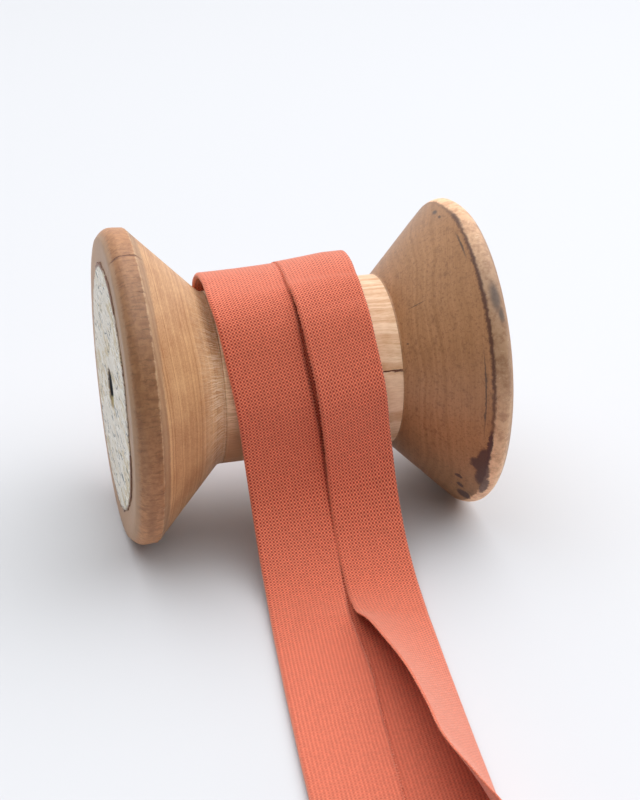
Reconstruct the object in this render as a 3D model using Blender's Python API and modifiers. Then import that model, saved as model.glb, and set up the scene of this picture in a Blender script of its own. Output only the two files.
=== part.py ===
"""A length of folded bias binding draped over a turned wooden spool that lies on its side.

+X runs along the spool's axis, the loose end of the binding lies towards -Y and +Z is up. The origin is
the middle of the part's bounding box, on the surface that the spool and the binding rest on.
"""
import math

import bmesh
import bpy
import numpy as np

MM = 0.001
GAP = 0.3                    # air between two pieces that touch

# Spool, in millimetres. Its length runs from the left end face to the right end face.
SPOOL_LENGTH = 61.8
AXIS_HEIGHT = 26.4           # a little under the rims' radius, which leaves each rim a small flat spot
RIM_RADIUS = 26.7
BARREL_RADIUS = 14.7
BORE_RADIUS = 3.2
TENON_RADIUS = 6.5
TENON_LENGTH = 8.0
TURNED_SIDES = 48

# One row for each flange: the side of the spool, the length of its cone, the cone's radius where it meets
# the rim, the rim's width, the radius of its flat end face and the radius of the cove at the barrel.
FLANGE_COLUMNS = ("name", "side", "cone_length", "cone_radius", "rim_width", "face_radius", "cove_radius")
FLANGE_ROWS = (
    ("flange_left", -1, 11.6, 26.5, 4.3, 25.2, 1.6),
    ("flange_right", 1, 11.6, 26.2, 3.5, 25.3, 0.4),
)

# Paper disc glued on the left end face.
LABEL_RADIUS = 22.8
LABEL_HOLE_RADIUS = 3.7
LABEL_THICKNESS = 0.4

# Binding: a bias-cut strip whose two long edges are folded in to the middle.
BINDING_WIDTH = 25.0
LEFT_FLAP = 13.1             # from the left fold to that flap's raw edge
RIGHT_FLAP = 11.4
LAYER = 1.0                  # thickness of one layer of cloth in the solid
WRAP_END = 148.0             # degrees from the top of the barrel, down its back, to the hidden end
LIFT_OFF = 46.0              # degrees from the top, at the back, where the binding leaves the barrel
TAIL_LENGTH = 107.0          # from the spool's axis forward to the loose end

# The binding's underside from where it leaves the barrel to its loose end: how far ahead of the spool's
# axis, the height, where the left fold lies across the spool's length and how far the right flap stands open.
DRAPE_COLUMNS = ("ahead", "height", "left_fold", "flap_degrees")
DRAPE_ROWS = (
    (-6.4, 40.9, -14.4, 0.0),
    (-4.2, 42.7, -14.8, 0.0),
    (-2.0, 43.7, -15.0, 0.0),
    (0.6, 43.9, -15.0, 0.0),
    (5.2, 42.7, -15.0, 4.0),
    (9.5, 39.0, -14.5, 8.0),
    (13.4, 34.0, -13.3, 10.0),
    (15.3, 28.0, -12.4, 10.0),
    (15.2, 19.6, -12.0, 8.0),
    (19.0, 10.9, -11.8, 2.0),
    (25.0, 4.1, -11.7, 0.0),
    (29.6, 0.9, -11.8, 0.0),
    (34.0, 0.0, -12.0, 3.0),
    (38.5, 0.0, -12.3, 9.0),
    (45.0, 0.0, -13.1, 20.0),
    (52.5, 0.0, -14.0, 32.0),
    (62.0, 0.0, -15.0, 43.0),
    (72.0, 0.0, -15.9, 51.0),
    (84.0, 0.0, -17.0, 58.0),
    (96.0, 0.0, -18.3, 68.0),
    (TAIL_LENGTH, 0.0, -19.6, 78.0),
)
WRAP_STATIONS = 8
DRAPE_STATIONS = 46

# Places worked out from the sizes above. The label stands proud of the left end face, so the spool's
# middle lies half of that to the right of the origin.
LABEL_PROUD = GAP + LABEL_THICKNESS
SPOOL_MIDDLE = LABEL_PROUD / 2
AXIS_Y = (TAIL_LENGTH - RIM_RADIUS) / 2


def table(columns, rows):
    """Rows of a table as dictionaries keyed by its column names."""
    return [dict(zip(columns, row)) for row in rows]


FLANGES = table(FLANGE_COLUMNS, FLANGE_ROWS)


def clear_scene():
    for obj in list(bpy.data.objects):
        bpy.data.objects.remove(obj, do_unlink=True)


def collection(name):
    made = bpy.data.collections.new(name)
    bpy.context.scene.collection.children.link(made)
    return made


def material(name, colour, roughness):
    """An opaque Principled material; colour is linear RGB."""
    made = bpy.data.materials.new(name)
    made.use_nodes = True
    shader = made.node_tree.nodes["Principled BSDF"]
    shader.inputs["Base Color"].default_value = (*colour, 1.0)
    shader.inputs["Roughness"].default_value = roughness
    shader.inputs["Metallic"].default_value = 0.0
    return made


def add_object(name, mesh, target, finish=None):
    obj = bpy.data.objects.new(name, mesh)
    target.objects.link(obj)
    if finish:
        mesh.materials.append(finish)
    return obj


def turned(name, profile, target, finish, side, start):
    """A closed profile of (radius, distance along the axis) turned about the spool's axis.

    Distance is counted from start, along the spool's length, outwards on the given side.
    """
    mesh = bpy.data.meshes.new(name)
    points = [(radius * MM, 0.0, along * MM) for radius, along in profile]
    count = len(points)
    mesh.from_pydata(points, [(i, (i + 1) % count) for i in range(count)], [])
    obj = add_object(name, mesh, target, finish)
    screw = obj.modifiers.new("Turned", "SCREW")
    screw.axis = "Z"
    screw.angle = math.tau
    screw.steps = screw.render_steps = TURNED_SIDES
    screw.use_merge_vertices = True
    screw.merge_threshold = 0.00001
    screw.use_smooth_shade = True
    obj.rotation_euler = (0.0, side * math.pi / 2, 0.0)
    obj.location = ((SPOOL_MIDDLE + start) * MM, AXIS_Y * MM, AXIS_HEIGHT * MM)
    return obj


def flange_length(flange):
    return flange["cone_length"] + flange["rim_width"]


def barrel_end(flange):
    """Distance from the spool's middle to the plane where this flange meets the barrel."""
    return SPOOL_LENGTH / 2 - flange_length(flange) + cove_reach(flange)


def cove_angle(flange):
    return math.atan2(flange["cone_radius"] - BARREL_RADIUS, flange["cone_length"])


def cove_reach(flange):
    """Length of barrel that the cove takes up, past the point where cone and barrel would meet."""
    return -flange["cove_radius"] * math.tan(cove_angle(flange) / 2)


def cove_points(flange, steps=3):
    """Concave arc from the barrel's surface to the cone, as (radius, along) points."""
    size = flange["cove_radius"]
    angles = [cove_angle(flange) * i / steps for i in range(steps + 1)]
    return [(BARREL_RADIUS + size * (1 - math.cos(a)), size * math.sin(a)) for a in angles]


def rim_points(flange, cone_end, steps=3):
    """The rounded rim: from its crown the radius falls as a parabola to the cone and to the end face."""
    points = []
    for i in range(-steps, steps + 1):
        edge_radius = flange["cone_radius"] if i < 0 else flange["face_radius"]
        radius = RIM_RADIUS - (RIM_RADIUS - edge_radius) * (i / steps) ** 2
        points.append((radius, cone_end + (i / steps + 1) / 2 * flange["rim_width"]))
    return points


def make_flange(flange, target, finish):
    """Cone, cove and rounded rim, with a socket for the barrel's tenon and the bore through it."""
    cone_end = flange["cone_length"] - cove_reach(flange)
    face = cone_end + flange["rim_width"]
    socket_radius = TENON_RADIUS + GAP
    socket_depth = TENON_LENGTH + GAP
    outside = cove_points(flange) + rim_points(flange, cone_end)
    inside = [(socket_radius, 0.0), (socket_radius, socket_depth), (BORE_RADIUS, socket_depth), (BORE_RADIUS, face)]
    profile = outside[::-1] + inside
    return turned(flange["name"], profile, target, finish, flange["side"], flange["side"] * barrel_end(flange))


def make_barrel(target, finish):
    """The barrel between the flanges, with a tenon at each end and the bore through all of it."""
    left, right = (barrel_end(flange) - GAP for flange in FLANGES)
    low, high = -left, right
    profile = [
        (BORE_RADIUS, high + TENON_LENGTH),
        (TENON_RADIUS, high + TENON_LENGTH),
        (TENON_RADIUS, high),
        (BARREL_RADIUS, high),
        (BARREL_RADIUS, low),
        (TENON_RADIUS, low),
        (TENON_RADIUS, low - TENON_LENGTH),
        (BORE_RADIUS, low - TENON_LENGTH),
    ]
    return turned("spool_barrel", profile, target, finish, 1, 0.0)


def make_label(target, finish):
    profile = [
        (LABEL_HOLE_RADIUS, LABEL_PROUD),
        (LABEL_RADIUS, LABEL_PROUD),
        (LABEL_RADIUS, GAP),
        (LABEL_HOLE_RADIUS, GAP),
    ]
    return turned("end_label", profile, target, finish, -1, -SPOOL_LENGTH / 2)


def floor_cutter(target):
    """A block under the surface, which gives each rim its small flat spot."""
    bpy.ops.mesh.primitive_cube_add(size=1.0)
    block = bpy.context.object
    for owner in list(block.users_collection):
        owner.objects.unlink(block)
    target.objects.link(block)
    block.name = "floor_cutter"
    depth = 2 * RIM_RADIUS * MM
    block.scale = (2 * SPOOL_LENGTH * MM, depth, depth)
    block.location = (0.0, AXIS_Y * MM, -depth / 2)
    block.hide_render = True
    block.display_type = "WIRE"
    return block


def flatten(obj, cutter):
    cut = obj.modifiers.new("Flat spot", "BOOLEAN")
    cut.operation = "DIFFERENCE"
    cut.solver = "EXACT"
    cut.object = cutter


def smooth_through(rows, count):
    """Evenly spaced points on the smooth curve through the rows: cubic Hermite pieces, by path length.

    The first two columns are the path; the others are carried along it.
    """
    steps = np.linalg.norm(np.diff(rows[:, :2], axis=0), axis=1)
    length = np.concatenate(([0.0], np.cumsum(steps)))
    slope = np.gradient(rows, length, axis=0)
    place = np.linspace(0.0, length[-1], count)
    i = np.clip(np.searchsorted(length, place, side="right") - 1, 0, len(length) - 2)
    span = (length[i + 1] - length[i])[:, None]
    u = (place - length[i])[:, None] / span
    return (
        (2 * u**3 - 3 * u**2 + 1) * rows[i]
        + (u**3 - 2 * u**2 + u) * span * slope[i]
        + (3 * u**2 - 2 * u**3) * rows[i + 1]
        + (u**3 - u**2) * span * slope[i + 1]
    )


def binding_path():
    """Stations along the binding's underside, from its hidden end to its loose end."""
    radius = BARREL_RADIUS + GAP + 0.1
    angles = np.radians(np.linspace(WRAP_END, LIFT_OFF, WRAP_STATIONS))
    wrap = np.stack(
        [
            -radius * np.sin(angles),
            AXIS_HEIGHT + radius * np.cos(angles),
            np.full(WRAP_STATIONS, DRAPE_ROWS[0][2] + 0.4),
            np.zeros(WRAP_STATIONS),
        ],
        axis=1,
    )
    rows = np.concatenate([wrap, np.array(DRAPE_ROWS)])
    stations = smooth_through(rows, WRAP_STATIONS + DRAPE_STATIONS)
    stations[:, 1] = np.maximum(stations[:, 1], 0.0)
    return stations


def section_line(flap_degrees):
    """Middle line of the folded section as (across, out) points, from raw edge to raw edge."""
    fold = (LAYER + GAP) / 2
    middle = LAYER / 2
    inset = fold + middle
    opened = math.radians(flap_degrees)
    top = middle + 2 * fold
    left_flap = [(LEFT_FLAP + part * (inset - LEFT_FLAP), top) for part in (0.0, 0.25, 0.5, 0.75)]
    left_fold = [(inset - fold * math.cos(a), middle + fold - fold * math.sin(a))
                 for a in (math.radians(d) for d in (-90, -30, 30, 90))]
    back = [(inset + part * (BINDING_WIDTH - 2 * inset), middle) for part in (0.2, 0.4, 0.6, 0.8)]
    turn = math.pi - opened
    right_fold = [(BINDING_WIDTH - inset + fold * math.sin(turn * part), middle + fold - fold * math.cos(turn * part))
                  for part in (0.0, 1 / 3, 2 / 3, 1.0)]
    root_across, root_out = right_fold[-1]
    right_flap = [(root_across - reach * math.cos(opened), root_out + reach * math.sin(opened))
                  for reach in ((RIGHT_FLAP - inset) * part for part in (0.25, 0.5, 0.75, 1.0))]
    return left_flap + left_fold + back + right_fold + right_flap


def make_binding(target, finish):
    """The folded section carried along the drape, as an open sheet that Solidify gives its thickness."""
    stations = binding_path()
    along = np.gradient(stations[:, :2], axis=0)
    along /= np.linalg.norm(along, axis=1, keepdims=True)
    rings = []
    for (ahead, height, left, flap), (d_ahead, d_height) in zip(stations, along):
        section = np.array(section_line(flap))
        across, out = section[:, 0], section[:, 1]
        # The outward normal of a path that runs forward along (ahead, height) is (-d_height, d_ahead).
        rings.append(np.stack(
            [
                SPOOL_MIDDLE + left + across,
                AXIS_Y - (ahead - d_height * out),
                height + d_ahead * out,
            ],
            axis=1,
        ))
    columns = len(rings[0])
    mesh = bpy.data.meshes.new("binding")
    form = bmesh.new()
    bmesh.ops.create_grid(form, x_segments=columns - 1, y_segments=len(rings) - 1, size=1.0)
    form.verts.ensure_lookup_table()
    for vertex, point in zip(form.verts, np.concatenate(rings)):
        vertex.co = point * MM
    form.to_mesh(mesh)
    form.free()
    mesh.shade_smooth()
    obj = add_object("binding", mesh, target, finish)
    cloth = obj.modifiers.new("Cloth thickness", "SOLIDIFY")
    cloth.thickness = LAYER * MM
    cloth.offset = 0.0
    cloth.use_even_offset = True
    return obj


def build():
    clear_scene()
    parts = collection("bias_binding_on_spool")
    cutters = collection("cutters")
    light_wood = material("light_wood", (0.62, 0.42, 0.26), 0.6)
    brown_wood = material("brown_wood", (0.45, 0.25, 0.12), 0.5)
    dark_wood = material("dark_wood", (0.28, 0.14, 0.07), 0.45)
    paper = material("aged_paper", (0.60, 0.57, 0.52), 0.85)
    cotton = material("coral_cotton", (0.75, 0.22, 0.13), 0.9)
    cutter = floor_cutter(cutters)
    for flange, finish in zip(FLANGES, (brown_wood, dark_wood)):
        flatten(make_flange(flange, parts, finish), cutter)
    make_barrel(parts, light_wood)
    make_label(parts, paper)
    make_binding(parts, cotton)


build()
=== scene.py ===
"""A length of coral bias binding draped over an old turned wooden spool that lies on its side.

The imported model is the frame. Lengths below are millimetres unless a name says otherwise: +X runs along
the spool's axis, the loose end of the binding lies towards -Y and +Z is up.
"""

import math

import bpy
import numpy as np
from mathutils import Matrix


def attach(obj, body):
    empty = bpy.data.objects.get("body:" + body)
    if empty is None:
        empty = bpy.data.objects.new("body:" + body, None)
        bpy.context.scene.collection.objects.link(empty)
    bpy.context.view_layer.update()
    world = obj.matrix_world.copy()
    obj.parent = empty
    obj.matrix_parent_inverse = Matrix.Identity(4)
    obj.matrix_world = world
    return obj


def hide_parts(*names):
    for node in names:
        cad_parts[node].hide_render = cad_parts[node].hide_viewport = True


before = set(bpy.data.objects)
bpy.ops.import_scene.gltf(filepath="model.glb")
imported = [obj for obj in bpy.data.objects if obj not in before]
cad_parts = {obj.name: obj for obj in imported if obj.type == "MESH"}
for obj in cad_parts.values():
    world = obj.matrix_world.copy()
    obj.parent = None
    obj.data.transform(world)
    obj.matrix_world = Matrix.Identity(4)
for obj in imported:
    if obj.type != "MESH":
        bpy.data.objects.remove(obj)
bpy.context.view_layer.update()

# Left flange: a cone with a rounded rim, turned from a board of light hardwood whose face was square to
# the axis, so its growth rings circle the cone. It is glued over the barrel's tenon. Decades of handling
# have browned the rim, worn its corner pale and opened one crack across its top. Its colour also holds
# painted light and shade: a painted highlight along the rim's corner, painted shade round the rim's front
# with painted light at its top and bottom, and a bore painted dark with painted light on its lower wall.
MM = 0.001
SPOOL_LENGTH = 61.8
SPOOL_MIDDLE = 0.35
AXIS_Y = 40.15
AXIS_HEIGHT = 26.4
RIM_RADIUS = 26.7
BARREL_RADIUS = 14.7
BORE_RADIUS = 3.2
TENON_RADIUS = 6.5
TENON_LENGTH = 8.0
SEAM = 0.02
GLUE_GAP = 0.3

TURNED_SIDES = 512
COVE_POINTS = 8
CONE_POINTS = 38
RIM_POINTS = 30
FACE_POINTS = 16
BORE_POINTS = 6

LEFT_CONE_LENGTH = 11.6
LEFT_CONE_RADIUS = 26.5
LEFT_RIM_WIDTH = 4.3
LEFT_FACE_RADIUS = 25.2
LEFT_COVE_RADIUS = 1.6
DENTED_RADIUS = 24.0         # where the rim's dents begin
DENTS_GROW = 2.0             # how much further out they are whole
NICKED_REACH = 0.5           # how far from the rim's corner its nicks go

# Wanders round a turned shape: how far, the seed, and the slowest and the fastest of their waves.
LEFT_DENTS = (0.10, 3, 2, 14)
LEFT_NICKS = (0.07, 4, 30, 120)

RING_DRIFTS_PER_MM = 0.07
RING_ROUGHNESS = 0.75
FIBRES_PER_MM = (5.0, 0.7, 5.0)
FIBRE_SHARE = 0.6
BLOTCHES_PER_MM = 0.16
BLOTCH_SHARE = 0.6
DARKEST_TONE = 0.88
PALEST_TONE = 1.34
SHAKES_PER_MM = 1.3
SHAKE_DEGREES = 3.0
HAIRS_PER_MM = (1.6, 0.35, 0.0)

LEFT_WOOD_PALE = "#D6A878"
LEFT_WOOD_DARK = "#A8744A"
LEFT_RIM_DARK = "#90603D"
BORE_PAINTED_SHADE = "#20262E"

# A coat over a colour: its own colour, the value at which there is none of it, the value at which there is
# most, and how much that is. The value is a noise from 0 to 1, a nearness to marks, or millimetres.
LEFT_COVE_FUZZ = ("#F0D9BC", 0.42, 0.62, 0.65)
LEFT_RIM_PALE = ("#AE7C52", 0.25, 0.75, 1.0)
LEFT_RIM_SCRATCH = ("#6A452B", 0.50, 0.66, 0.5)
LEFT_EDGE_GREY = ("#8F6F55", 1.5, 0.9, 0.6)
LEFT_FACE_DUSTY = ("#B08E70", 0.9, 0.2, 0.75)
LEFT_CORNER_WORN_AND_LIT = ("#E0BB92", -0.25, -0.5, 0.3)
LEFT_GRIMY = (LEFT_RIM_DARK, 1.3, 0.3, 0.5)
LEFT_CRACKED = ("#54260F", 1.35, 0.6, 1.0)
BORE_PAINTED_LIGHT = ("#C9B887", -2.3, -2.7, 1.0)

LEFT_FUZZ_FROM = 5.0         # how far from the barrel the fuzz begins, and where it is whole
LEFT_FUZZ_FULL = 1.5
LEFT_RIM_BEGINS = (0.15, -0.1)
BORE_MOUTH = (0.3, 0.1)
WORN_RAGGED = -0.9           # how much the mottle frays the worn edge
MOTTLE_RELIEF = 0.8
CRACK_DEPTH = 6.0
CUT_FLOOR = 0.5
CUT_BRINK = 1.3

# The rim's tone round the axis: darker round its front, partly handling grime and partly painted shade, and
# lighter towards its top and bottom, which is painted light. Where it is darkest, in degrees round from the
# top, how far from there the tone begins and ends its change, and the tones themselves.
LEFT_HANDLED_AND_SHADED = (52.0, 20.0, 95.0, 0.78, 1.7)

# Marks on a turned face, each an ellipse: degrees round from the top towards the loose end, millimetres
# along the spool, and half its extent each way.
LEFT_CRACKS = (
    (13.1, -28.3, 0.22, 1.9),
    (12.6, -26.3, 0.20, 1.3),
    (13.6, -29.7, 0.16, 0.7),
    (31.0, -26.6, 0.10, 0.8),
)
LEFT_GRIME = (
    (13.1, -27.8, 0.9, 2.8),
    (118.0, -28.2, 16.0, 0.8),
    (150.0, -29.0, 5.0, 1.0),
)


def linear(hex_colour):
    """An sRGB hex colour as the linear RGBA that shaders read."""
    channels = np.array([int(hex_colour[i : i + 2], 16) for i in (1, 3, 5)]) / 255.0
    light = np.where(channels <= 0.04045, channels / 12.92, ((channels + 0.055) / 1.055) ** 2.4)
    return (*light.tolist(), 1.0)


def add_node(tree, kind, inputs=None, **settings):
    """A shader node with its settings; an input given as a socket is linked, any other value is set."""
    node = tree.nodes.new("ShaderNode" + kind)
    for name, value in settings.items():
        setattr(node, name, value)
    for key, value in (inputs or {}).items():
        if isinstance(value, bpy.types.NodeSocket):
            tree.links.new(value, node.inputs[key])
        else:
            node.inputs[key].default_value = value
    return node


def number(tree, operation, *values):
    """A sum or another function of numbers."""
    return add_node(tree, "Math", dict(enumerate(values)), operation=operation).outputs[0]


def vector(tree, operation, *values):
    """A sum or another function of vectors."""
    return add_node(tree, "VectorMath", dict(enumerate(values)), operation=operation).outputs[0]


def scaled(tree, value, factor):
    """A vector or a colour times a number."""
    return add_node(tree, "VectorMath", {0: value, 3: factor}, operation="SCALE").outputs[0]


def parts(tree, value):
    """The three numbers of a vector."""
    return add_node(tree, "SeparateXYZ", {0: value}).outputs


def reach(tree, place, axes):
    """How far a place is from the origin, counted only along the axes that are 1."""
    counted = vector(tree, "MULTIPLY", place, axes)
    return add_node(tree, "VectorMath", {0: counted}, operation="LENGTH").outputs["Value"]


def ramp(tree, value, low, high, at_low=0.0, at_high=1.0):
    """A number carried from one range to another and held at its ends."""
    return add_node(tree, "MapRange", {0: value, 1: low, 2: high, 3: at_low, 4: at_high}).outputs[0]


def noise(tree, place, per_mm, detail, roughness=0.5, distortion=0.0):
    """A fractal noise with so many features to the millimetre, as one number or as one for each axis."""
    if isinstance(per_mm, tuple):
        place = vector(tree, "MULTIPLY", place, per_mm)
        per_mm = 1.0
    inputs = {"Vector": place, "Scale": per_mm, "Detail": detail, "Roughness": roughness}
    return add_node(tree, "TexNoise", {**inputs, "Distortion": distortion}).outputs[0]


def blend(tree, share, under, over):
    """A colour between two others."""
    return add_node(tree, "Mix", {0: share, 6: under, 7: over}, data_type="RGBA").outputs[2]


def lay_over(tree, under, over, value, low, high, most=1.0):
    """One colour over another, from none of it where the value is low to the most where it is high."""
    inputs = {0: value, 1: low, 2: high, 4: most}
    share = add_node(tree, "MapRange", inputs, interpolation_type="SMOOTHSTEP").outputs[0]
    return blend(tree, share, under, over)


def lay_from(tree, under, over, value, start, begins, most=1.0):
    """One colour over another from a start on, by how far past it there is none of it and the most."""
    return lay_over(tree, under, over, value, start + begins[0], start + begins[1], most)


def lay_coat(tree, under, value, coat, start=0.0):
    """A coat over a colour, with its values counted from the start."""
    colour, *begins, most = coat
    return lay_from(tree, under, linear(colour), value, start, begins, most)


def new_finish(name, roughness):
    """A material and its node tree."""
    finish = bpy.data.materials.new(name)
    finish.use_nodes = True
    finish.node_tree.nodes["Principled BSDF"].inputs["Roughness"].default_value = roughness
    return finish, finish.node_tree


def give_surface(tree, colour, height, strength, depth):
    """Gives a material its colour and its relief, which is so many millimetres deep."""
    bump = add_node(tree, "Bump", {"Height": height, "Strength": strength, "Distance": depth * MM})
    tree.links.new(colour, tree.nodes["Principled BSDF"].inputs["Base Color"])
    tree.links.new(bump.outputs[0], tree.nodes["Principled BSDF"].inputs["Normal"])


def from_axis(tree):
    """The place on a piece in millimetres, counted from the spool's axis."""
    coordinates = add_node(tree, "TexCoord").outputs["Object"]
    to_axis = (0.0, -AXIS_Y * MM, -AXIS_HEIGHT * MM)
    centred = add_node(tree, "Mapping", {0: coordinates, 1: to_axis}).outputs[0]
    return scaled(tree, centred, 1 / MM)


def wobble(angle, size, seed, slowest, fastest):
    """A smooth periodic wander of about the size either way: sines of whole-number speeds, drawn phases."""
    draw = np.random.default_rng(seed)
    speeds = np.arange(slowest, fastest + 1)
    phases = draw.uniform(0.0, math.tau, len(speeds))
    sizes = 1.0 / np.sqrt(speeds / slowest)
    waves = np.sin(np.asarray(angle)[..., None] * speeds + phases) * sizes
    return size * (waves.sum(axis=-1) / np.sqrt((sizes**2).sum()))


def add_piece(name, points, quads, finish):
    """A smooth mesh from points in millimetres and quads, turned to face outwards, riding on the spool.

    The volume is the sum over triangles of p0 . (p1 x p2) / 6; where it is negative the quads are reversed.
    """
    triangles = np.concatenate([quads[:, [0, 1, 2]], quads[:, [0, 2, 3]]])
    corners = points[triangles]
    volume = np.einsum("ij,ij->i", corners[:, 0], np.cross(corners[:, 1], corners[:, 2])).sum() / 6.0
    if volume < 0.0:
        quads = quads[:, ::-1]
    mesh = bpy.data.meshes.new(name)
    mesh.from_pydata(points * MM, [], quads)
    mesh.shade_smooth()
    mesh.materials.append(finish)
    piece = bpy.data.objects.new(name, mesh)
    bpy.context.scene.collection.objects.link(piece)
    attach(piece, "root")
    return piece


def flange_place(side, cone_length, cone_radius, rim_width, cove_radius):
    """Where along the spool a flange meets the barrel, its cone meets its rim, and its end face is.

    The side is -1 on the left and 1 on the right. The cove lengthens the cone by its tangent's length.
    """
    cove_reach = cove_radius * math.tan(math.atan2(cone_radius - BARREL_RADIUS, cone_length) / 2)
    face = SPOOL_MIDDLE + side * SPOOL_LENGTH / 2
    corner = face - side * rim_width
    return corner - side * (cone_length + cove_reach), corner, face


def flange_outline(cone_length, cone_radius, rim_width, face_radius, cove_radius):
    """Closed outline as (along, radius), with along counted outwards from the barrel's end.

    Cove: an arc from the barrel to the cone's slope. Cone: a straight line. Rim: from its crown the radius
    falls as a parabola to the cone and to the end face. Then the face, the bore and the tenon's socket.
    """
    slope = math.atan2(cone_radius - BARREL_RADIUS, cone_length)
    turn = np.linspace(0.0, slope, COVE_POINTS)
    cove = np.stack([cove_radius * np.sin(turn), BARREL_RADIUS + cove_radius * (1 - np.cos(turn))], axis=1)
    cone_end = cone_length + cove_radius * math.tan(slope / 2)
    cone = np.linspace(cove[-1], (cone_end, cone_radius), CONE_POINTS)[1:]
    across = np.linspace(-1.0, 1.0, RIM_POINTS)[1:]
    drop = np.where(across < 0.0, RIM_RADIUS - cone_radius, RIM_RADIUS - face_radius)
    rim = np.stack([cone_end + (across + 1) / 2 * rim_width, RIM_RADIUS - drop * across**2], axis=1)
    face_end = cone_end + rim_width
    face = np.linspace(rim[-1], (face_end, BORE_RADIUS), FACE_POINTS)[1:]
    bore = np.linspace(face[-1], (TENON_LENGTH + GLUE_GAP, BORE_RADIUS), BORE_POINTS)[1:]
    socket = [(TENON_LENGTH + GLUE_GAP, TENON_RADIUS + GLUE_GAP), (0.0, TENON_RADIUS + GLUE_GAP)]
    return np.concatenate([cove, cone, rim, face, bore, socket])


def turned_surface(along, radius, angle):
    """Points of a turned shape: radius times (sine, cosine) of the angle from the top, about the axis.

    A point that would fall below the surface the spool lies on is pressed flat onto it.
    """
    y = AXIS_Y - radius * np.sin(angle)
    z = np.maximum(AXIS_HEIGHT + radius * np.cos(angle), 0.0)
    return np.stack(np.broadcast_arrays(along, y, z), axis=-1)


def grid_quads(rows, columns, closed_along=True):
    """Quads of a grid whose last column meets its first, and whose last row does too unless it is open."""
    i, j = np.meshgrid(np.arange(rows if closed_along else rows - 1), np.arange(columns), indexing="ij")
    below, beside = (i + 1) % rows, (j + 1) % columns
    corners = [i * columns + j, below * columns + j, below * columns + beside, i * columns + beside]
    return np.stack(corners, axis=-1).reshape(-1, 4)


def turned_wood(name, pale, dark, board_turn, pith_distance, ring_width, wander, roughness):
    """Dry, close-grained hardwood off the lathe: growth rings about a far pith, with fine fibres.

    Returns the material, its node tree, the place from the spool's axis in millimetres, and the colour and
    height so far. Tone is a one-dimensional noise of the distance from the pith over the ring width, with
    fibres 0.2 mm thick drawn out along the grain, and soft blotches.
    """
    finish, tree = new_finish(name, roughness)
    place = from_axis(tree)
    turn = tuple(math.radians(degrees) for degrees in board_turn)
    board = add_node(tree, "Mapping", {0: place, 1: (pith_distance, 0.0, 0.0), 2: turn}).outputs[0]
    drift = noise(tree, board, RING_DRIFTS_PER_MM, detail=2.0)
    rings = number(tree, "MULTIPLY_ADD", drift, wander, reach(tree, board, (1.0, 0.0, 1.0)))
    ring_place = number(tree, "MULTIPLY", rings, 1 / ring_width)
    inputs = {"W": ring_place, "Scale": 1.0, "Detail": 3.0, "Roughness": RING_ROUGHNESS}
    ring = add_node(tree, "TexNoise", inputs, noise_dimensions="1D").outputs[0]
    fibre = noise(tree, board, FIBRES_PER_MM, detail=3.0, roughness=0.65)
    blotch = noise(tree, place, BLOTCHES_PER_MM, detail=4.0, roughness=0.6)
    streaks = number(tree, "MULTIPLY_ADD", fibre, FIBRE_SHARE, ring)
    tones = number(tree, "MULTIPLY_ADD", blotch, BLOTCH_SHARE, streaks)
    colour = blend(tree, ramp(tree, tones, DARKEST_TONE, PALEST_TONE), linear(dark), linear(pale))
    return finish, tree, place, colour, streaks


def unrolled(tree, place, jitter):
    """The turned surface laid flat: degrees from the top and millimetres along, shaken by a fine noise."""
    split = parts(tree, place)
    turned = number(tree, "ARCTAN2", number(tree, "MULTIPLY", split[1], -1.0), split[2])
    degrees = number(tree, "MULTIPLY", turned, 180 / math.pi)
    flat = add_node(tree, "CombineXYZ", {0: degrees, 1: split[0]}).outputs[0]
    inputs = {"Vector": place, "Scale": SHAKES_PER_MM, "Detail": 5.0, "Roughness": 0.7}
    shake = vector(tree, "SUBTRACT", add_node(tree, "TexNoise", inputs).outputs[1], (0.5, 0.5, 0.0))
    return vector(tree, "MULTIPLY_ADD", shake, (SHAKE_DEGREES * jitter, jitter, 0.0), flat)


def nearest_mark(tree, flat, rows):
    """How near a place is to the rows' ellipses: 0 in the middle of one, 1 on its outline, more outside."""
    nearest = None
    for degrees, along, half_degrees, half_along in rows:
        sizes = (1 / half_degrees, 1 / half_along, 0.0)
        middle = (-degrees / half_degrees, -along / half_along, 0.0)
        spot = vector(tree, "MULTIPLY_ADD", flat, sizes, middle)
        nearness = add_node(tree, "VectorMath", {0: spot}, operation="LENGTH").outputs["Value"]
        nearest = nearness if nearest is None else number(tree, "MINIMUM", nearest, nearness)
    return nearest


def cut_in(tree, height, marks, depth):
    """The height with the marks cut into it, from their brink down to their floor."""
    return number(tree, "ADD", height, ramp(tree, marks, CUT_FLOOR, CUT_BRINK, -depth, 0.0))


def handled_and_shaded(tree, wood, degrees, darkest_degrees, near, far, tone_near, tone_far):
    """Wood whose tone changes with the distance round the rim from where it is darkest: partly handling
    grime, partly painted shade round the front and painted light towards the top and bottom.
    """
    away = number(tree, "ABSOLUTE", number(tree, "SUBTRACT", degrees, darkest_degrees))
    return scaled(tree, wood, ramp(tree, away, near, far, tone_near, tone_far))


angle = np.linspace(0.0, math.tau, TURNED_SIDES, endpoint=False)[None, :]
outline = flange_outline(
    LEFT_CONE_LENGTH, LEFT_CONE_RADIUS, LEFT_RIM_WIDTH, LEFT_FACE_RADIUS, LEFT_COVE_RADIUS)
left_joint, left_corner, left_face = flange_place(
    -1.0, LEFT_CONE_LENGTH, LEFT_CONE_RADIUS, LEFT_RIM_WIDTH, LEFT_COVE_RADIUS)
along = left_joint - outline[:, :1]
radius = outline[:, 1:]
on_rim = np.clip((radius - DENTED_RADIUS) / DENTS_GROW, 0.0, 1.0)
by_corner = np.exp(-(((along - left_corner) / NICKED_REACH) ** 2))
dents = wobble(angle, *LEFT_DENTS) * on_rim + wobble(angle, *LEFT_NICKS) * by_corner * on_rim
points = turned_surface(along, radius + dents, angle)

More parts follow.
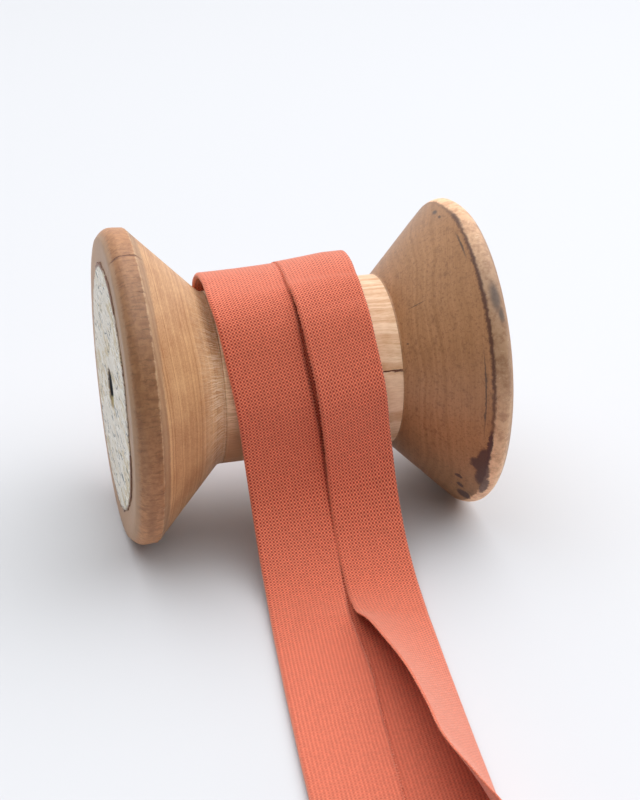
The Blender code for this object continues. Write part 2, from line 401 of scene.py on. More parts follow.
finish, tree, place, colour, height = turned_wood(
    "light hardwood, turned and handled", LEFT_WOOD_PALE, LEFT_WOOD_DARK,
    board_turn=(0.0, 0.0, 2.0), pith_distance=160.0, ring_width=0.42, wander=1.0, roughness=0.5)
true_place = parts(tree, place)
flat = unrolled(tree, place, jitter=0.9)
flat_place = parts(tree, flat)
degrees, ragged = flat_place[0], flat_place[1]
mottle = noise(tree, place, per_mm=1.1, detail=6.0, roughness=0.6)
hairs = noise(tree, flat, HAIRS_PER_MM, detail=4.0, roughness=0.6)
fuzzy = lay_coat(tree, colour, hairs, LEFT_COVE_FUZZ)
by_cove = ramp(tree, ragged, left_joint - LEFT_FUZZ_FROM, left_joint - LEFT_FUZZ_FULL)
colour = blend(tree, by_cove, colour, fuzzy)
colour = lay_coat(tree, colour, ragged, LEFT_EDGE_GREY, left_corner)
rim_wood = lay_coat(tree, linear(LEFT_RIM_DARK), mottle, LEFT_RIM_PALE)
rim_wood = lay_coat(tree, rim_wood, hairs, LEFT_RIM_SCRATCH)
rim_wood = handled_and_shaded(tree, rim_wood, degrees, *LEFT_HANDLED_AND_SHADED)
colour = lay_from(tree, colour, rim_wood, ragged, left_corner, LEFT_RIM_BEGINS)
colour = lay_coat(tree, colour, ragged, LEFT_FACE_DUSTY, left_face)
# Pale along the rim's corner: worn wood and a painted highlight.
off_corner = number(tree, "ABSOLUTE", number(tree, "SUBTRACT", true_place[0], left_corner))
off_corner = number(tree, "MULTIPLY_ADD", mottle, WORN_RAGGED, off_corner)
colour = lay_coat(tree, colour, off_corner, LEFT_CORNER_WORN_AND_LIT)
# The bore's walls: painted shade in dark slate, with painted light in yellow on the lower wall.
bore_shade_and_light = lay_coat(tree, linear(BORE_PAINTED_SHADE), true_place[2], BORE_PAINTED_LIGHT)
from_bore = reach(tree, place, (0.0, 1.0, 1.0))
colour = lay_from(tree, colour, bore_shade_and_light, from_bore, BORE_RADIUS, BORE_MOUTH)
colour = lay_coat(tree, colour, nearest_mark(tree, flat, LEFT_GRIME), LEFT_GRIMY)
cracks = nearest_mark(tree, unrolled(tree, place, jitter=0.35), LEFT_CRACKS)
colour = lay_coat(tree, colour, cracks, LEFT_CRACKED)
height = number(tree, "MULTIPLY_ADD", mottle, MOTTLE_RELIEF, height)
give_surface(tree, colour, cut_in(tree, height, cracks, CRACK_DEPTH), strength=0.45, depth=0.08)
quads = grid_quads(len(outline), TURNED_SIDES)
left_flange = add_piece("left_flange_turned", points.reshape(-1, 3), quads, finish)
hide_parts("flange_left")

# Right flange: the same cone and rounded rim in a darker, finer wood, cut nearer to the heart, so its
# rings swirl over the cone. It is glued on in the same way. Maroon paint is left along its rim, with a
# flaked patch near the bottom, and its end face is plain wood. The dark line along the rim's corner is
# partly that paint and partly painted shade, and the rim is darker round its front and lighter at its top
# and bottom, partly from handling and partly as painted shade and painted light.
RIGHT_CONE_LENGTH = 11.6
RIGHT_CONE_RADIUS = 26.2
RIGHT_RIM_WIDTH = 3.5
RIGHT_FACE_RADIUS = 25.3
RIGHT_COVE_RADIUS = 0.4
RIGHT_DENTS = (0.10, 13, 2, 14)

RIGHT_WOOD_PALE = "#B4855C"
RIGHT_WOOD_DARK = "#A1744C"
RIGHT_RIM_DARK = "#A97D5B"
RIGHT_PORES = ("#6E4830", 0.48, 0.70, 0.5)
RIGHT_BLOTCHES = ("#6E4830", 0.50, 0.75, 0.5)
RIGHT_RIM_PALE = ("#C79D78", 0.36, 0.6, 1.0)
RIGHT_NICKS = ("#E6CBAA", 0.58, 0.7, 0.7)
PAINT_RUBBED_AND_SHADE = ("#4A2A22", 1.9, 0.4, 0.85)
PAINT_MAROON = ("#3E1E22", 1.3, 0.8, 0.85)
SOOT_GREY = ("#3A3230", 1.6, 0.4, 0.75)
NICKS_PER_MM = (2.4, 0.9, 0.0)
NICK_RELIEF = 0.6
RIGHT_RIM_BEGINS = (-0.1, 0.2)
RIGHT_FACE_BEGINS = (-0.9, -0.1)
# The right rim's tone round the axis, as on the left: partly handling grime, partly painted shade round its
# front and painted light at its top and bottom.
RIGHT_HANDLED_AND_SHADED = (55.0, 15.0, 85.0, 0.72, 2.0)

# Along the rim's corner: partly rubbed paint, partly painted shade.
CORNER_PAINT_AND_SHADE = (
    (50.0, 27.7, 48.0, 0.24),
    (8.0, 27.8, 6.5, 0.30),
)
PAINT_MARKS = (
    (103.0, 27.6, 7.0, 0.35),
    (109.5, 27.1, 5.0, 0.8),
    (113.5, 26.8, 3.4, 1.2),
    (118.0, 27.5, 6.5, 0.85),
    (125.0, 28.3, 5.5, 0.6),
    (128.4, 24.9, 1.1, 0.5),
    (135.0, 25.7, 1.4, 0.5),
    (141.5, 26.9, 3.4, 0.95),
)
SOOT_MARKS = (
    (81.0, 26.65, 14.5, 0.09),
    (75.6, 26.7, 1.2, 0.16),
    (90.0, 26.6, 1.6, 0.14),
    (46.5, 29.4, 5.0, 0.8),
    (53.0, 29.9, 2.5, 0.5),
    (36.1, 19.1, 0.22, 1.15),
    (56.5, 17.0, 0.5, 0.14),
    (-9.0, 26.5, 2.0, 0.30),
    (-2.4, 26.4, 1.2, 0.18),
    (21.0, 26.9, 6.0, 0.12),
)

outline = flange_outline(
    RIGHT_CONE_LENGTH, RIGHT_CONE_RADIUS, RIGHT_RIM_WIDTH, RIGHT_FACE_RADIUS, RIGHT_COVE_RADIUS)
right_joint, right_corner, right_face = flange_place(
    1.0, RIGHT_CONE_LENGTH, RIGHT_CONE_RADIUS, RIGHT_RIM_WIDTH, RIGHT_COVE_RADIUS)
along = right_joint + outline[:, :1]
radius = outline[:, 1:]
on_rim = np.clip((radius - DENTED_RADIUS) / DENTS_GROW, 0.0, 1.0)
points = turned_surface(along, radius + wobble(angle, *RIGHT_DENTS) * on_rim, angle)

finish, tree, place, colour, height = turned_wood(
    "dark hardwood, turned and handled", RIGHT_WOOD_PALE, RIGHT_WOOD_DARK,
    board_turn=(0.0, 6.0, 20.0), pith_distance=90.0, ring_width=0.9, wander=4.0, roughness=0.42)
flat = unrolled(tree, place, jitter=1.0)
flat_place = parts(tree, flat)
degrees, ragged = flat_place[0], flat_place[1]
mottle = noise(tree, place, per_mm=0.6, detail=6.0, roughness=0.7)
pores = noise(tree, place, per_mm=2.0, detail=4.0, roughness=0.7)
nicks = noise(tree, flat, NICKS_PER_MM, detail=4.0, roughness=0.7)
bare_wood = lay_coat(tree, colour, pores, RIGHT_PORES)
bare_wood = lay_coat(tree, bare_wood, mottle, RIGHT_BLOTCHES)
rim_wood = lay_coat(tree, linear(RIGHT_RIM_DARK), mottle, RIGHT_RIM_PALE)
rim_wood = lay_coat(tree, rim_wood, nicks, RIGHT_NICKS)
rim_wood = handled_and_shaded(tree, rim_wood, degrees, *RIGHT_HANDLED_AND_SHADED)
colour = lay_from(tree, bare_wood, rim_wood, ragged, right_corner, RIGHT_RIM_BEGINS)
true_along = parts(tree, place)[0]
colour = lay_from(tree, colour, bare_wood, true_along, right_face, RIGHT_FACE_BEGINS)
# A dark line along the rim's corner: rubbed paint and painted shade.
colour = lay_coat(tree, colour, nearest_mark(tree, flat, CORNER_PAINT_AND_SHADE), PAINT_RUBBED_AND_SHADE)
colour = lay_coat(tree, colour, nearest_mark(tree, flat, PAINT_MARKS), PAINT_MAROON)
soot = nearest_mark(tree, unrolled(tree, place, jitter=0.3), SOOT_MARKS)
colour = lay_coat(tree, colour, soot, SOOT_GREY)
height = number(tree, "MULTIPLY_ADD", nicks, NICK_RELIEF, height)
give_surface(tree, colour, height, strength=0.35, depth=0.07)
quads = grid_quads(len(outline), TURNED_SIDES)
right_flange = add_piece("right_flange_turned", points.reshape(-1, 3), quads, finish)
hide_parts("flange_right")

# Barrel: a pale close-grained rod with its grain along the axis, shouldered to a tenon at each end and
# bored through. It has dried out, so it has checks along the grain. By the left flange it is rough with
# fine hairs, paler above, partly from painted light, and browner lower down, which is painted shade.
BARREL_ROUNDED = 0.06
BARREL_POINTS = 70
ROUNDED_POINTS = 6
BARREL_WOOD_PALE = "#F2D0AE"
BARREL_WOOD_DARK = "#CC9C72"
BARREL_END_PALE_AND_LIT = "#F0CFA9"
BARREL_CHECKED = ("#5E3018", 1.3, 0.7, 1.0)
BARREL_END_SHADE = ("#BA845B", 85.0, 115.0, 1.0)
BARREL_END_HAIRS = (LEFT_WOOD_DARK, 0.58, 0.40, 0.6)
BARREL_END_REACH = (5.0, 3.0)
BARREL_END_SHARE = 0.85
CHECK_DEPTH = 5.0
BARREL_CHECKS = (
    (72.2, 12.8, 0.5, 3.9),
    (73.0, 15.6, 0.4, 1.3),
    (-38.0, 13.4, 0.4, 2.0),
)

barrel_low = left_joint + SEAM
barrel_high = right_joint - SEAM
turn = np.linspace(0.0, math.pi / 2, ROUNDED_POINTS)[:, None]
round_off = BARREL_ROUNDED * np.concatenate([np.sin(turn), np.cos(turn) - 1.0], axis=1)
high_edge = (barrel_high - BARREL_ROUNDED, BARREL_RADIUS) + round_off
low_edge = np.array([(barrel_low, BARREL_RADIUS)])
outline = np.concatenate([
    low_edge,
    np.linspace(low_edge[-1], high_edge[0], BARREL_POINTS)[1:-1],
    high_edge,
    [(barrel_high, TENON_RADIUS), (barrel_high + TENON_LENGTH, TENON_RADIUS)],
    [(barrel_high + TENON_LENGTH, BORE_RADIUS), (barrel_low - TENON_LENGTH, BORE_RADIUS)],
    [(barrel_low - TENON_LENGTH, TENON_RADIUS), (barrel_low, TENON_RADIUS)],
])
points = turned_surface(outline[:, :1], outline[:, 1:], angle)

finish, tree, place, colour, height = turned_wood(
    "pale hardwood, bare and dry", BARREL_WOOD_PALE, BARREL_WOOD_DARK,
    board_turn=(0.0, 0.0, 90.0), pith_distance=30.0, ring_width=1.0, wander=2.0, roughness=0.6)
flat = unrolled(tree, place, jitter=0.5)
checks = nearest_mark(tree, flat, BARREL_CHECKS)
colour = lay_coat(tree, colour, checks, BARREL_CHECKED)
hairs = noise(tree, flat, HAIRS_PER_MM, detail=4.0, roughness=0.6)
# The left end: paler above, partly fuzz and partly painted light beside the binding's shadow, and browner
# lower down, which is painted shade, with fine dark hairs over it.
left_end_shade_and_hairs = lay_coat(tree, linear(BARREL_END_PALE_AND_LIT), parts(tree, flat)[0], BARREL_END_SHADE)
left_end_shade_and_hairs = lay_coat(tree, left_end_shade_and_hairs, hairs, BARREL_END_HAIRS)
true_along = parts(tree, place)[0]
colour = lay_from(tree, colour, left_end_shade_and_hairs, true_along, barrel_low, BARREL_END_REACH, BARREL_END_SHARE)
give_surface(tree, colour, cut_in(tree, height, checks, CHECK_DEPTH), strength=0.6, depth=0.1)
quads = grid_quads(len(outline), TURNED_SIDES)
barrel = add_piece("barrel_turned", points.reshape(-1, 3), quads, finish)
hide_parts("spool_barrel")

# Label: an old paper disc pasted on the left end face, punched for the bore. Its rim is torn and its face
# is rubbed, stained and bare of print. A painted shadow darkens the outermost edge of the torn rim.
LABEL_RADIUS = 20.9
LABEL_HOLE_RADIUS = 3.5
LABEL_THICKNESS = 0.16
LABEL_POINTS = 44
PASTE_GAP = 0.04
PAPER_CURL = 0.05
PAPER_TRIMMED = 0.3
PAPER_RIPPLE = (0.05, 21, 3, 16)
PAPER_TEAR = (0.5, 22, 2, 9)
PAPER_FRAY = (0.22, 23, 16, 90)
PAPER_PALE = "#E6DFD3"
PAPER_STAINED = ("#CDB98E", 0.50, 0.64, 0.7)
PAPER_SOILED = ("#59606B", 0.57, 0.64, 0.85)
PAPER_FIBRE = ("#FAF6EE", 0.53, 0.60, 0.8)
PAPER_EDGE_SHADE = ("#774028", 0.45, 1.0, 0.8)
PAPER_EDGE_SHADE_RAGGED = 2.4

steps = np.linspace(0.0, 1.0, LABEL_POINTS)[:, None]
ripple = wobble(angle, *PAPER_RIPPLE) * np.sin(steps * math.pi)
torn = LABEL_RADIUS - PAPER_TRIMMED + wobble(angle, *PAPER_TEAR) + wobble(angle, *PAPER_FRAY)
front = LABEL_HOLE_RADIUS + (torn - LABEL_HOLE_RADIUS) * steps
radius = np.concatenate([front, front[::-1]])
along = np.concatenate([left_face - PASTE_GAP - LABEL_THICKNESS - ripple - PAPER_CURL,
                        np.full_like(front, left_face - PASTE_GAP)])
points = turned_surface(along, radius, angle)

finish, tree = new_finish("aged paper, rubbed and stained", roughness=0.8)
place = from_axis(tree)
colour = linear(PAPER_PALE)
for coat, patches_per_mm in (
        (PAPER_STAINED, (0.25, 0.0875, 0.25)),
        (PAPER_SOILED, (0.9, 0.225, 0.81)),
        (PAPER_FIBRE, (1.6, 0.352, 1.28))):
    patches = noise(tree, place, patches_per_mm, detail=4.0, roughness=0.6, distortion=1.5)
    colour = lay_coat(tree, colour, patches, coat)
# Painted shadow along the paper's torn edge, frayed by the fibre noise.
from_bore = number(tree, "MULTIPLY_ADD", patches, PAPER_EDGE_SHADE_RAGGED, reach(tree, place, (0.0, 1.0, 1.0)))
colour = lay_coat(tree, colour, from_bore, PAPER_EDGE_SHADE, LABEL_RADIUS)
tree.links.new(colour, tree.nodes["Principled BSDF"].inputs["Base Color"])
quads = grid_quads(len(radius), TURNED_SIDES)
label = add_piece("end_paper", points.reshape(-1, 3), quads, finish)
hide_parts("end_label")

# Binding: a strip of plain-woven cotton cut on the bias, its two long edges pressed in to the middle. It
# comes up behind the barrel, arches over it, falls down its front and runs out along the surface, where
# the right flap opens. It is one length of cloth that keeps its shape by its own stiffness, not fixed.
BINDING_WIDTH = 24.8
BINDING_STATIONS = 400
CLOTH_THICKNESS = 0.3
LEFT_FLAP_MOST = 13.5
RIGHT_FLAP_CLOTH = 11.75
BACK_DEPTH = 0.36
FOLD_RADIUS = 0.36
FLAP_LEAN = 1.6
LEAN_LOST_BY_OPENING = 0.3
LEAN_REVERSED = -0.75
FLOOR_CLEARANCE = 0.02

# How many steps across the cloth: the left flap, its fold, the back, the right fold and the right flap.
SECTION_STEPS = (28, 12, 44, 12, 26)

# The arch lies lower at the left fold: by how much, from which height on, within what rise and share of
# the width, and how sharply it sets in.
CREST_SAG = 2.0
SAG_FROM = 40.0
SAG_RISE = 6.0
SAG_RISE_POWER = 1.5
SAG_WIDTH_SHARE = 0.85
SAG_WIDTH_POWER = 1.3

# Behind the barrel the binding lies on a circle about the spool's axis, from its end up to where it lifts
# off, in degrees from the top.
WRAP_RADIUS = 16.0
WRAP_END = 148.0
LIFT_OFF = 52.0
WRAP_ROWS = 12
WRAP_FOLD_AND_FLAPS = (-14.6, 1.0, 13.2)

# The outer side of the folded binding, from where it leaves the barrel's back to its loose end: how far
# ahead of the spool's axis, the height, where the left fold lies across the spool, how far the right flap
# opens in degrees, and the width of the left flap, which was pressed by hand and wanders.
DRAPE = np.array([
    (-11.6, 38.6, -14.7, 1.0, 13.3),
    (-8.4, 41.8, -14.9, 1.0, 13.4),
    (-5.6, 44.2, -15.0, 1.0, 13.5),
    (-2.8, 45.75, -15.0, 1.0, 13.5),
    (0.4, 46.1, -15.0, 1.0, 13.5),
    (6.3, 44.7, -15.1, 4.0, 13.3),
    (10.9, 40.2, -14.55, 8.0, 12.9),
    (13.7, 34.0, -13.65, 9.0, 12.45),
    (15.6, 28.0, -12.8, 9.3, 12.35),
    (16.2, 19.65, -11.9, 9.5, 12.9),
    (18.7, 11.0, -11.25, 4.5, 13.1),
    (24.8, 4.6, -11.3, 0.5, 13.0),
    (30.0, 2.2, -11.6, 1.0, 12.6),
    (38.4, 1.15, -12.5, 10.0, 12.4),
    (45.0, 1.0, -13.2, 24.0, 12.9),
    (52.5, 1.0, -14.0, 34.5, 13.3),
    (62.0, 1.0, -14.95, 45.0, 13.0),
    (72.0, 1.0, -15.9, 51.0, 12.7),
    (79.0, 1.0, -16.5, 53.5, 12.5),
    (84.0, 1.0, -17.0, 59.0, 12.4),
    (90.0, 1.0, -17.6, 67.0, 12.3),
    (96.0, 1.0, -18.3, 76.0, 12.3),
    (106.6, 1.0, -19.6, 84.0, 12.3),
])

# The weave has 25 threads to the centimetre, counted on the photograph. Two kinds of hole lie between
# them, one dark and one half closed. Towards the loose end only ribs along the strip are left of it.
BIAS_ANGLE = 45.0
THREAD_PITCH = 0.40
THREAD_HEIGHT = 0.09
THREAD_ROUND = 0.35
THREAD_FLAT = 0.85
CROSSING_SOFT = 0.15         # how softly one thread passes under the other
THREAD_DRIFT = 0.22
THREAD_DRIFTS_PER_MM = 0.5
HOLE_KIND_SHARE = 0.5
HOLE_DARK = 0.2
YARN_FULL = 1.6
RIB_DEPTH = 0.10
RIB_TONE = 0.57
# The painted shade in the weave fades from here towards the loose end, where the light falls along the
# threads.
RIBS_FROM = 92.0
RIBS_ONLY = 140.0
WEAVE_LEFT = 0.2             # how much of the weave is left where the ribs are alone
THREAD_PALER = (0.92, 1.08)
CORAL_YARN = "#F28462"
# Painted shade: the dark red in the weave's holes and where its threads dip.
CORAL_HOLE_SHADE = "#8A1206"
CORAL_SHEEN = "#FFD2C0"


def unit(vectors):
    """Vectors brought to length 1."""
    return vectors / np.linalg.norm(vectors, axis=-1, keepdims=True)


def smooth_path(rows, count):
    """Even stations on the smooth curve through the rows: cubic Hermite pieces, by length of path."""
    steps = np.linalg.norm(np.diff(rows[:, :2], axis=0), axis=1)
    length = np.concatenate(([0.0], np.cumsum(steps)))
    slope = np.gradient(rows, length, axis=0)
    spot = np.linspace(0.0, length[-1], count)
    i = np.clip(np.searchsorted(length, spot, side="right") - 1, 0, len(length) - 2)
    span = (length[i + 1] - length[i])[:, None]
    u = (spot - length[i])[:, None] / span
    return (
        (2 * u**3 - 3 * u**2 + 1) * rows[i]
        + (u**3 - 2 * u**2 + u) * span * slope[i]
        + (3 * u**2 - 2 * u**3) * rows[i + 1]
        + (u**3 - u**2) * span * slope[i + 1]
    )


def folded_section(opened, left_flap):
    """The cloth's middle line across the binding, for each station, as (across, out) with its length.

    Its direction turns by half a circle at the left fold and by half a circle less the flap's opening at
    the right one. Both flaps lean a little towards the back layer, the left one less where the right one
    opens. The line is the sum of its short steps.
    """
    back = BINDING_WIDTH - 2 * FOLD_RADIUS
    fold = math.pi * FOLD_RADIUS
    left = left_flap - FOLD_RADIUS
    right = RIGHT_FLAP_CLOTH - FOLD_RADIUS
    start = np.zeros((len(opened), 1))
    step = np.concatenate([
        np.repeat(np.broadcast_to(length, left.shape)[:, None] / count, count, axis=1)
        for length, count in zip((left, fold, back, fold, right), SECTION_STEPS)
    ], axis=1)
    reached = np.concatenate([start, np.cumsum(step, axis=1)], axis=1)
    middle = (reached[:, :-1] + reached[:, 1:]) / 2 - left[:, None]
    into_left = np.clip(middle / fold, 0.0, 1.0)
    into_right = np.clip((middle - fold - back) / fold, 0.0, 1.0)
    lean = math.radians(FLAP_LEAN)
    left_lean = np.clip(lean - LEAN_LOST_BY_OPENING * opened, LEAN_REVERSED * lean, lean)[:, None]
    left_turn = (math.pi + left_lean) * into_left
    right_turn = (math.pi - opened[:, None] + lean) * into_right
    direction = math.pi - left_lean + left_turn + right_turn
    across = np.concatenate([start, np.cumsum(np.cos(direction) * step, axis=1)], axis=1)
    out = np.concatenate([start, np.cumsum(np.sin(direction) * step, axis=1)], axis=1)
    back_middle = SECTION_STEPS[0] + SECTION_STEPS[1] + SECTION_STEPS[2] // 2
    across -= across.min(axis=1, keepdims=True)
    out -= out[:, [back_middle]] + CLOTH_THICKNESS / 2 + BACK_DEPTH
    return across, out, reached + (LEFT_FLAP_MOST - left_flap)[:, None]


wrap_angle = np.radians(np.linspace(WRAP_END, LIFT_OFF, WRAP_ROWS))
wrap = np.column_stack([
    -WRAP_RADIUS * np.sin(wrap_angle),
    AXIS_HEIGHT + WRAP_RADIUS * np.cos(wrap_angle),
    np.tile(WRAP_FOLD_AND_FLAPS, (WRAP_ROWS, 1)),
])
ahead, rise, left_fold, opened, left_flap = smooth_path(np.concatenate([wrap, DRAPE]), BINDING_STATIONS).T
across, out, width_reached = folded_section(np.radians(np.maximum(opened, 0.0)), left_flap)
centre = np.stack([SPOOL_MIDDLE + left_fold, AXIS_Y - ahead, rise], axis=1)
along_path = unit(np.gradient(centre, axis=0))
outward = -unit(np.cross(np.array([1.0, 0.0, 0.0]), along_path))
sideways = np.cross(outward, along_path)
sideways *= np.sign(sideways[:, :1])
cloth = centre[:, None, :] + across[..., None] * sideways[:, None, :] + out[..., None] * outward[:, None, :]
on_crest = np.clip((rise - SAG_FROM) / SAG_RISE, 0.0, 1.0) ** SAG_RISE_POWER
by_left = np.clip(1.0 - (across / BINDING_WIDTH / SAG_WIDTH_SHARE) ** SAG_WIDTH_POWER, 0.0, 1.0)
cloth[..., 2] -= CREST_SAG * on_crest[:, None] * by_left
normal = unit(np.cross(np.gradient(cloth, axis=0), np.gradient(cloth, axis=1)))
one_side = cloth + CLOTH_THICKNESS / 2 * normal
other_side = cloth - CLOTH_THICKNESS / 2 * normal
skins = np.concatenate([one_side, other_side[:, ::-1]], axis=1)
skins[..., 2] = np.maximum(skins[..., 2], FLOOR_CLEARANCE)
stations, ring = skins.shape[:2]
k = np.arange(ring // 2 - 1)
cut_end = np.stack([k, k + 1, ring - 2 - k, ring - 1 - k], axis=-1)
other_end = (cut_end + (stations - 1) * ring)[:, ::-1]
quads = np.concatenate([grid_quads(stations, ring, closed_along=False), cut_end, other_end])

finish, tree = new_finish("plain-woven cotton on the bias", roughness=0.7)
strip = add_node(tree, "UVMap", uv_map="strip").outputs[0]
inputs = {"Vector": strip, "Scale": THREAD_DRIFTS_PER_MM, "Detail": 2.0}
drift = add_node(tree, "TexNoise", inputs).outputs[1]
drift = vector(tree, "MULTIPLY_ADD", drift, (THREAD_DRIFT, THREAD_DRIFT, 0.0), strip)
inputs = {0: drift, 2: (0.0, 0.0, math.radians(BIAS_ANGLE)), 3: (1 / THREAD_PITCH,) * 3}
threads = add_node(tree, "Mapping", inputs, vector_type="POINT").outputs[0]
half_turns = [number(tree, "MULTIPLY", side, math.pi) for side in parts(tree, threads)[:2]]
waves = [number(tree, "SINE", turn) for turn in half_turns]
crowns = [number(tree, "ABSOLUTE", wave) for wave in waves]
dips = [number(tree, "COSINE", turn) for turn in half_turns]

warp_over = ramp(tree, number(tree, "MULTIPLY", *waves), -CROSSING_SOFT, CROSSING_SOFT)
warp_power = ramp(tree, warp_over, 0.0, 1.0, THREAD_ROUND, THREAD_FLAT)
weft_power = ramp(tree, warp_over, 0.0, 1.0, THREAD_FLAT, THREAD_ROUND)
warp_dome = number(tree, "POWER", crowns[0], warp_power)
weft_dome = number(tree, "POWER", crowns[1], weft_power)
height = number(tree, "MULTIPLY", warp_dome, weft_dome)

# Painted shade of the weave: the colour turns to the dark red in the holes and between the threads, and
# less of it is kept towards the loose end, where the light falls along the threads.
squares = [number(tree, "POWER", crown, 2.0) for crown in crowns]
hole_kind = number(tree, "MULTIPLY", *dips)
full = number(tree, "MULTIPLY_ADD", hole_kind, HOLE_KIND_SHARE, number(tree, "ADD", *squares))
woven = ramp(tree, full, HOLE_DARK, YARN_FULL)
ribs = number(tree, "COSINE", number(tree, "ADD", *half_turns))
ribs = number(tree, "MULTIPLY_ADD", ribs, RIB_DEPTH, RIB_TONE)
sharp = ramp(tree, parts(tree, strip)[1], RIBS_FROM, RIBS_ONLY, 1.0, WEAVE_LEFT)
shown = add_node(tree, "Mix", {0: sharp, 2: ribs, 3: woven}).outputs[0]
colour = blend(tree, shown, linear(CORAL_HOLE_SHADE), linear(CORAL_YARN))
chance = add_node(tree, "TexWhiteNoise", {"Vector": vector(tree, "FLOOR", threads)}).outputs[0]
colour = scaled(tree, colour, ramp(tree, chance, 0.0, 1.0, *THREAD_PALER))
give_surface(tree, colour, height, strength=0.4, depth=THREAD_HEIGHT)
shader = tree.nodes["Principled BSDF"].inputs
shader["Specular IOR Level"].default_value = 0.3
shader["Sheen Weight"].default_value = 0.7
shader["Sheen Roughness"].default_value = 0.5
shader["Sheen Tint"].default_value = linear(CORAL_SHEEN)
binding = add_piece("bias_binding", skins.reshape(-1, 3), quads, finish)

strip_along = np.concatenate(([0.0], np.cumsum(np.linalg.norm(np.diff(centre, axis=0), axis=1))))
strip_across = np.concatenate([width_reached, width_reached[:, ::-1]], axis=1)
strip_place = np.stack(np.broadcast_arrays(strip_across, strip_along[:, None]), axis=-1).reshape(-1, 2)
corner_points = np.zeros(len(binding.data.loops), dtype=np.int32)
binding.data.loops.foreach_get("vertex_index", corner_points)
strip_map = binding.data.uv_layers.new(name="strip")
strip_map.data.foreach_set("uv", strip_place[corner_points].ravel().astype(np.float32))
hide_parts("binding")

# Yarn ends: the bias cut leaves the end of every thread bare along both raw edges, so each edge is a row
# of short stubs that lean both ways. They are the strip's own threads, drawn as tapers with four sides.
STUB_THICKNESS = 0.16
STUB_LENGTHS = (0.12, 0.42)
STUB_ROOT = 0.12
STUB_ROOT_SHARE = 0.5
STUB_TIP_SHARE = 0.3
STUB_MARGIN = 0.3
STUB_STAGGER = 0.14
STUB_STRAY = 0.12
STUB_SEED = 5

edges = ((0, 3), (-1, -4))    # each raw edge, and a line of the cloth a little way in from it
stubs = []
draw = np.random.default_rng(STUB_SEED)
for edge, inside in edges:
    for lean in (-1.0, 1.0):
        first = STUB_MARGIN + STUB_STAGGER * lean
        spot = np.arange(first, strip_along[-1] - STUB_MARGIN, THREAD_PITCH * math.sqrt(2.0))
        start, behind, ahead_of, face = (
            np.stack([np.interp(spot, strip_along, grid[:, k]) for k in range(3)], axis=1)
            for grid in (cloth[:, edge], cloth[:, inside], along_path, normal[:, edge]))
        stray = draw.normal(0.0, STUB_STRAY, (len(spot), 3))
        runs = unit(unit(start - behind) + lean * ahead_of + stray)
        beside = np.cross(runs, face)
        length = draw.uniform(*STUB_LENGTHS, (len(spot), 1))
        sides = [math.cos(turn) * beside + math.sin(turn) * face for turn in np.arange(4) * math.pi / 2]
        corners = [
            start + runs * reached + share * STUB_THICKNESS * side
            for reached, share in ((-STUB_ROOT, STUB_ROOT_SHARE), (length, STUB_TIP_SHARE))
            for side in sides
        ]
        stubs.append(np.stack(corners, axis=1).reshape(-1, 3))
points = np.concatenate(stubs)
points[:, 2] = np.maximum(points[:, 2], FLOOR_CLEARANCE)
box = np.array([(0, 1, 5, 4), (1, 2, 6, 5), (2, 3, 7, 6), (3, 0, 4, 7), (3, 2, 1, 0), (4, 5, 6, 7)])
quads = (8 * np.arange(len(points) // 8)[:, None, None] + box).reshape(-1, 4)
finish, tree = new_finish("loose ends of coral cotton yarn", roughness=0.9)
shader = tree.nodes["Principled BSDF"].inputs
shader["Base Color"].default_value = linear(CORAL_YARN)
shader["Sheen Weight"].default_value = 1.0
shader["Sheen Tint"].default_value = linear(CORAL_SHEEN)
yarn_ends = add_piece("binding_yarn_ends", points, quads, finish)

# Floor: a seamless white sheet under the spool, matt and a little cool.
FLOOR_WHITE = "#D0D1D4"
FLOOR_HALF = 2500.0

corners = np.array([(-1, -1, 0), (1, -1, 0), (1, 1, 0), (-1, 1, 0)]) * (FLOOR_HALF, FLOOR_HALF, 0.0)
mesh = bpy.data.meshes.new("floor")
mesh.from_pydata(corners * MM, [], [(0, 1, 2, 3)])
finish, tree = new_finish("matt white card", roughness=0.9)
shader = tree.nodes["Principled BSDF"].inputs
shader["Base Color"].default_value = linear(FLOOR_WHITE)
shader["Specular IOR Level"].default_value = 0.1
mesh.materials.append(finish)
floor = bpy.data.objects.new("floor", mesh)
bpy.context.scene.collection.objects.link(floor)

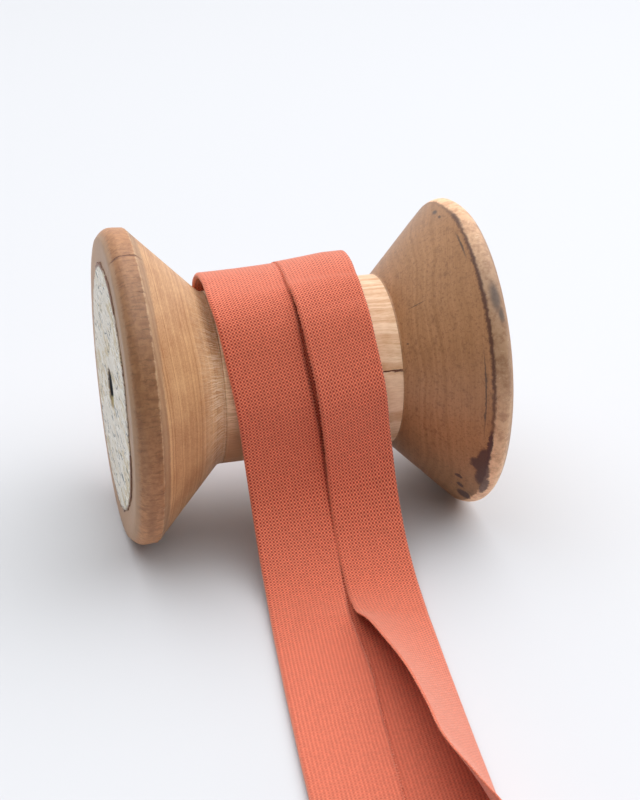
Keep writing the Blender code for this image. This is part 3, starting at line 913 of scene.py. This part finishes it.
# Light: one large soft box above the spool, to its right and a little behind it, in a white room that is
# bright at the sides and at the back, dim behind the camera and brighter on the right than on the left.
KEY_PLACE = (200.0, 60.0, 800.0)
KEY_SIZE = 1800.0
KEY_POWER = 13.3
ROOM_WHITE = (0.95, 0.97, 1.0, 1.0)
ROOM_SIDES = 1.0
ROOM_FRONT = 0.10
ROOM_FRONT_ENDS = -0.6
ROOM_SIDES_BEGIN = 0.3
ROOM_LEFT = 0.65
ROOM_RIGHT = 1.35

key = bpy.data.lights.new("soft box", "AREA")
key.shape = "DISK"
key.size = KEY_SIZE * MM
key.energy = KEY_POWER
key_lamp = bpy.data.objects.new("soft box", key)
key_lamp.location = np.array(KEY_PLACE) * MM
aim = np.array((0.0, AXIS_Y, 0.0)) - KEY_PLACE
key_lamp.rotation_euler = (
    math.atan2(math.hypot(aim[0], aim[1]), -aim[2]),
    0.0,
    math.atan2(aim[1], aim[0]) - math.pi / 2,
)
bpy.context.scene.collection.objects.link(key_lamp)

room = bpy.data.worlds.new("white room")
room.use_nodes = True
tree = room.node_tree
look_way = parts(tree, add_node(tree, "TexCoord").outputs["Generated"])
inputs = {0: look_way[1], 1: ROOM_FRONT_ENDS, 2: ROOM_SIDES_BEGIN, 3: ROOM_FRONT, 4: ROOM_SIDES}
strength = add_node(tree, "MapRange", inputs, interpolation_type="SMOOTHSTEP").outputs[0]
right_share = ramp(tree, look_way[0], -1.0, 1.0, ROOM_LEFT, ROOM_RIGHT)
background = tree.nodes["Background"].inputs
background["Color"].default_value = ROOM_WHITE
tree.links.new(number(tree, "MULTIPLY", strength, right_share), background["Strength"])
bpy.context.scene.world = room
bpy.context.scene.view_settings.view_transform = "Standard"

# Camera: above the loose end and left of it, as in the photograph.
CAMERA_PLACE = (-57.86, -208.21, 150.73)
CAMERA_TILT = 62.912
CAMERA_TURN = -14.28
CAMERA_LENS = 92.995
CAMERA_SENSOR = 36.0
CAMERA_NEAREST = 10.0

camera = bpy.data.cameras.new("camera")
camera.sensor_fit = "HORIZONTAL"
camera.sensor_width = CAMERA_SENSOR
camera.lens = CAMERA_LENS
camera.clip_start = CAMERA_NEAREST * MM
camera_stand = bpy.data.objects.new("camera", camera)
camera_stand.location = np.array(CAMERA_PLACE) * MM
camera_stand.rotation_euler = (math.radians(CAMERA_TILT), 0.0, math.radians(CAMERA_TURN))
bpy.context.scene.collection.objects.link(camera_stand)
bpy.context.scene.camera = camera_stand
